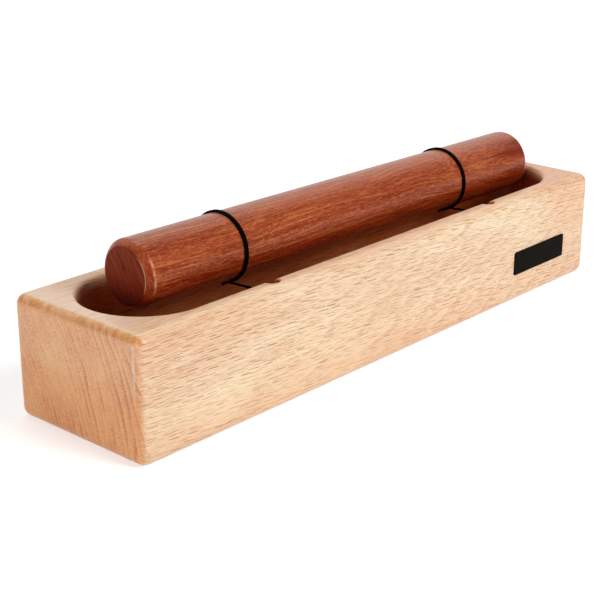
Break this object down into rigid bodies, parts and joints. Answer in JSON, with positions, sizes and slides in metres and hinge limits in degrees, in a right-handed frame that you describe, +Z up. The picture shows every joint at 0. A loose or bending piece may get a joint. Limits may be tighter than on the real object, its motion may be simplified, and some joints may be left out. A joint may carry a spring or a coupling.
{
  "type": "claves box",
  "caption": "Hardwood clave hung on elastic loops over a hollowed beech resonator box, so that it can be struck with one hand.",
  "frame": {"origin": "middle of the flat base that the box stands on", "axes": "+X along the box towards the end with the name plate, -Y out of the front face that carries the plate, +Z up"},
  "size_m": [0.265, 0.0645, 0.0661],
  "materials": {
    "beech": "satin lacquer",
    "rosewood": "oiled and polished",
    "elastic_cord": "black, braided",
    "screw_brass": "polished",
    "black_plate": "gloss black, bare"
  },
  "bodies": {
    "box": {"resonator_box": "beech", "left_front_screw": "screw_brass", "left_back_screw": "screw_brass", "right_front_screw": "screw_brass", "right_back_screw": "screw_brass", "name_plate": "black_plate"},
    "loops": {"left_elastic": "elastic_cord", "right_elastic": "elastic_cord"},
    "clave": {"clave": "rosewood"}
  },
  "joints": [
    {"name": "clave_bounce", "type": "slide", "parent": "box", "child": "loops", "axis": [0, 0, 1], "range_m": [-0.006, 0.006], "stiffness_N_per_m": 400, "springref_m": 0.0016, "deforming": ["left_elastic", "right_elastic"]},
    {"name": "clave_turn", "type": "hinge", "parent": "loops", "child": "clave", "pos_m": [0, 0, 0.0515], "axis": [0.9999, 0, -0.0132], "continuous": true}
  ]
}
